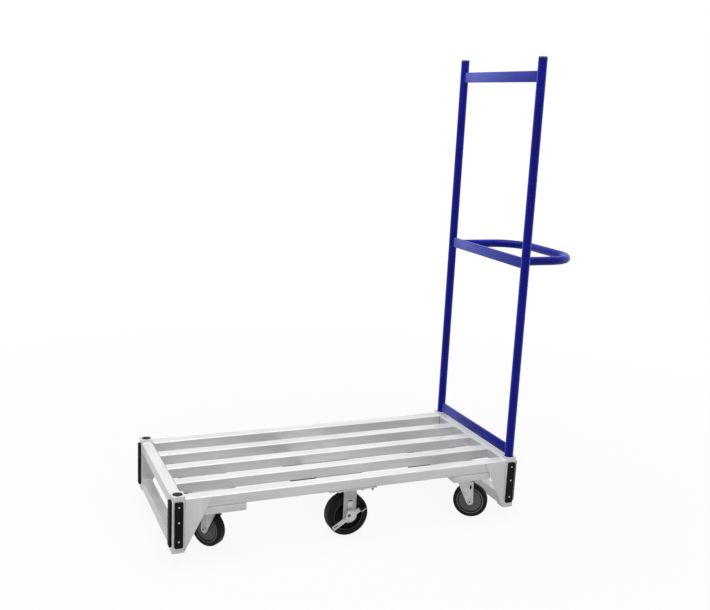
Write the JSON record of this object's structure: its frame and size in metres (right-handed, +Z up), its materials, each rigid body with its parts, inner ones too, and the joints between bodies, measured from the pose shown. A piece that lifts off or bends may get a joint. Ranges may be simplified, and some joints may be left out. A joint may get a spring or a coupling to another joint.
{
  "type": "platform hand truck",
  "caption": "Low aluminium platform truck on swivel corner casters and fixed middle casters, with a tall blue ladder handle and push loop standing in corner post sockets.",
  "frame": {"origin": "on the floor, at the middle of the box round the whole truck", "axes": "+Z up, +X along the deck towards the handle end, -Y towards the front side"},
  "size_m": [1.5543, 0.593, 1.679],
  "materials": {
    "aluminium": "mill finish, brushed",
    "zinc_steel": "zinc plated",
    "bright_screw": "bright zinc",
    "blue_paint": "gloss powder coat",
    "cap_plastic": "moulded",
    "bumper_rubber": "moulded",
    "grey_core": "moulded",
    "black_core": "moulded",
    "tyre": "smooth rubber"
  },
  "bodies": {
    "deck": {"front_side_rail": "aluminium", "rear_side_rail": "aluminium", "front_inner_bar": "aluminium", "rear_inner_bar": "aluminium", "middle_inner_bar": "aluminium", "left_end_rail": "aluminium", "right_end_rail": "aluminium", "left_toe_bar": "aluminium", "right_toe_bar": "aluminium", "front_left_post": "aluminium", "front_right_post": "aluminium", "rear_left_post": "aluminium", "rear_right_post": "aluminium", "post_feet": "aluminium", "left_gussets": "aluminium", "right_gussets": "aluminium", "left_caster_channel": "aluminium", "right_caster_channel": "aluminium", "middle_cross_plate": "aluminium", "side_bumpers": "bumper_rubber", "end_bumpers": "bumper_rubber", "bumper_screws": "bright_screw", "caster_plates": "zinc_steel", "caster_bolts": "zinc_steel", "kingpins": "zinc_steel", "front_middle_fork": "zinc_steel", "rear_middle_fork": "zinc_steel", "middle_axles": "zinc_steel"},
    "handle": {"front_upright": "blue_paint", "rear_upright": "blue_paint", "top_cross_bar": "blue_paint", "middle_cross_bar": "blue_paint", "bottom_cross_bar": "blue_paint", "push_loop": "blue_paint", "upright_caps": "cap_plastic"},
    "front_left_swivel": {"front_left_fork": "zinc_steel", "front_left_axle": "zinc_steel"},
    "front_left_wheel": {"front_left_wheel_core": "grey_core", "front_left_tyre": "tyre"},
    "front_right_swivel": {"front_right_fork": "zinc_steel", "front_right_axle": "zinc_steel"},
    "front_right_wheel": {"front_right_wheel_core": "grey_core", "front_right_tyre": "tyre"},
    "rear_left_swivel": {"rear_left_fork": "zinc_steel", "rear_left_axle": "zinc_steel"},
    "rear_left_wheel": {"rear_left_wheel_core": "grey_core", "rear_left_tyre": "tyre"},
    "rear_right_swivel": {"rear_right_fork": "zinc_steel", "rear_right_axle": "zinc_steel"},
    "rear_right_wheel": {"rear_right_wheel_core": "grey_core", "rear_right_tyre": "tyre"},
    "front_middle_wheel": {"front_middle_wheel_core": "black_core", "front_middle_tyre": "tyre"},
    "front_brake": {"front_brake_lever": "zinc_steel", "front_brake_pad": "bumper_rubber"},
    "rear_middle_wheel": {"rear_middle_wheel_core": "black_core", "rear_middle_tyre": "tyre"},
    "rear_brake": {"rear_brake_lever": "zinc_steel", "rear_brake_pad": "bumper_rubber"}
  },
  "joints": [
    {"name": "handle_lift", "type": "slide", "parent": "deck", "child": "handle", "axis": [0, 0, 1], "range_m": [0, 0.19]},
    {"name": "front_left_swivel_turn", "type": "hinge", "parent": "deck", "child": "front_left_swivel", "pos_m": [-0.59769, -0.2045, 0.138], "axis": [0, 0, 1], "continuous": true},
    {"name": "front_left_wheel_spin", "type": "hinge", "parent": "front_left_swivel", "child": "front_left_wheel", "pos_m": [-0.62063, -0.17173, 0.0635], "axis": [-0.8192, -0.5736, 0], "continuous": true},
    {"name": "front_right_swivel_turn", "type": "hinge", "parent": "deck", "child": "front_right_swivel", "pos_m": [0.33231, -0.2045, 0.138], "axis": [0, 0, 1], "continuous": true},
    {"name": "front_right_wheel_spin", "type": "hinge", "parent": "front_right_swivel", "child": "front_right_wheel", "pos_m": [0.36467, -0.22801, 0.0635], "axis": [0.5878, 0.809, 0], "continuous": true},
    {"name": "rear_left_swivel_turn", "type": "hinge", "parent": "deck", "child": "rear_left_swivel", "pos_m": [-0.59769, 0.2045, 0.138], "axis": [0, 0, 1], "continuous": true},
    {"name": "rear_left_wheel_spin", "type": "hinge", "parent": "rear_left_swivel", "child": "rear_left_wheel", "pos_m": [-0.62063, 0.17173, 0.0635], "axis": [0.8192, -0.5736, 0], "continuous": true},
    {"name": "rear_right_swivel_turn", "type": "hinge", "parent": "deck", "child": "rear_right_swivel", "pos_m": [0.33231, 0.2045, 0.138], "axis": [0, 0, 1], "continuous": true},
    {"name": "rear_right_wheel_spin", "type": "hinge", "parent": "rear_right_swivel", "child": "rear_right_wheel", "pos_m": [0.37231, 0.2045, 0.0635], "axis": [0, 1, 0], "continuous": true},
    {"name": "front_middle_wheel_spin", "type": "hinge", "parent": "deck", "child": "front_middle_wheel", "pos_m": [-0.13969, -0.2265, 0.0762], "axis": [0, 1, 0], "continuous": true},
    {"name": "front_brake_tip", "type": "hinge", "parent": "deck", "child": "front_brake", "pos_m": [-0.13969, -0.2605, 0.0762], "axis": [0, 1, 0], "range_deg": [0, 25]},
    {"name": "rear_middle_wheel_spin", "type": "hinge", "parent": "deck", "child": "rear_middle_wheel", "pos_m": [-0.13969, 0.2265, 0.0762], "axis": [0, 1, 0], "continuous": true},
    {"name": "rear_brake_tip", "type": "hinge", "parent": "deck", "child": "rear_brake", "pos_m": [-0.13969, 0.2605, 0.0762], "axis": [0, 1, 0], "range_deg": [0, 25]}
  ]
}
